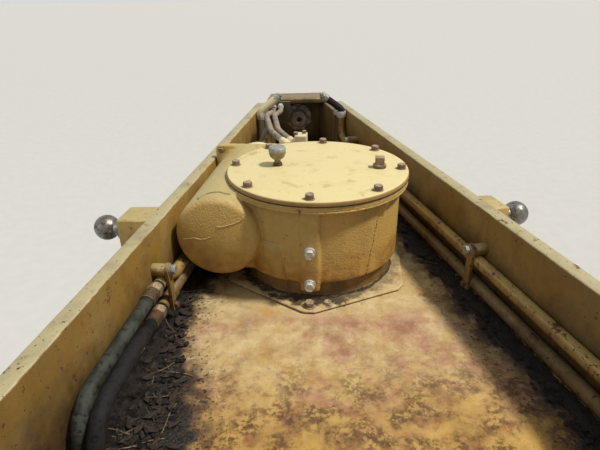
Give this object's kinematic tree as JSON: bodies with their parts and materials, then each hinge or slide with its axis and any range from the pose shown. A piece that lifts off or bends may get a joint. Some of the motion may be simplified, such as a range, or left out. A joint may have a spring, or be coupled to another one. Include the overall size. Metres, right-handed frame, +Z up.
{
  "type": "motor grader drawbar with circle drive",
  "caption": "A-shaped grader drawbar with a nose ball, a worm gear case on its deck and a toothed circle hung in guide shoes below, turned by a pinion.",
  "frame": {"origin": "centre of the nose ball", "axes": "+Y forwards along the machine, through the nose ball; +Z up; +X to the machine's right"},
  "size_m": [1.3392, 2.5156, 0.9903],
  "materials": {
    "yellow_paint": "faded, chipped and greasy construction yellow",
    "cast_paint": "faded yellow on cast iron",
    "cream_paint": "cream yellow, dusty",
    "worn_deck": "worn ochre paint with rust, primer and grease",
    "tube_paint": "yellow paint rubbed off a steel tube",
    "greasy_iron": "dusty grease on iron",
    "rusty_iron": "brown rust with rests of paint",
    "bare_steel": "turned, with a film of grease",
    "zinc_plate": "dull zinc plate",
    "greased_teeth": "worked steel with old grease",
    "wear_bronze": "worn bronze",
    "grey_hose": "dusty grey rubber",
    "black_hose": "dusty black rubber"
  },
  "bodies": {
    "drawbar": {"rail_left": "yellow_paint", "rail_right": "yellow_paint", "deck_plate": "worn_deck", "rear_crossmember": "yellow_paint", "nose_cheek_left": "yellow_paint", "nose_cheek_right": "yellow_paint", "nose_end_plate": "greasy_iron", "nose_bridge": "yellow_paint", "ball_stud": "bare_steel", "ball_cap": "greasy_iron", "gear_case": "cast_paint", "case_lid": "cast_paint", "breather": "zinc_plate", "filler_plug": "rusty_iron", "level_plugs": "zinc_plate", "drive_motor": "cream_paint", "motor_hose_upper": "grey_hose", "motor_hose_lower": "grey_hose", "hose_bracket": "zinc_plate", "tube_left_upper": "tube_paint", "tube_left_lower": "tube_paint", "hose_left_outer": "black_hose", "hose_left_inner": "black_hose", "deck_unions": "zinc_plate", "tube_right_upper": "tube_paint", "tube_right_lower": "tube_paint", "clamps_left": "rusty_iron", "clamps_right": "rusty_iron", "lift_arm_left": "yellow_paint", "lift_arm_right": "yellow_paint", "lift_ball_left": "bare_steel", "lift_ball_right": "bare_steel", "side_shift_bracket": "yellow_paint", "side_shift_ball": "bare_steel", "shoe_pads": "yellow_paint", "shoe_blocks": "rusty_iron", "shoe_clips": "rusty_iron", "wear_strips": "wear_bronze"},
    "circle": {"circle_ring": "yellow_paint", "circle_teeth": "greased_teeth", "blade_arm_left": "yellow_paint", "blade_arm_right": "yellow_paint", "arm_tie": "yellow_paint"},
    "pinion": {"pinion": "greased_teeth", "pinion_retainer": "rusty_iron"}
  },
  "joints": [
    {"name": "circle_turn", "type": "hinge", "parent": "drawbar", "child": "circle", "pos_m": [0, -1.786, -0.1703], "axis": [0, 0, 1], "continuous": true},
    {"name": "pinion_spin", "type": "hinge", "parent": "drawbar", "child": "pinion", "pos_m": [0, -1.3, -0.1703], "axis": [0, 0, 1], "continuous": true}
  ],
  "couplings": [
    {"joint": "pinion_spin", "follows": "circle_turn", "ratio": 6.4}
  ]
}
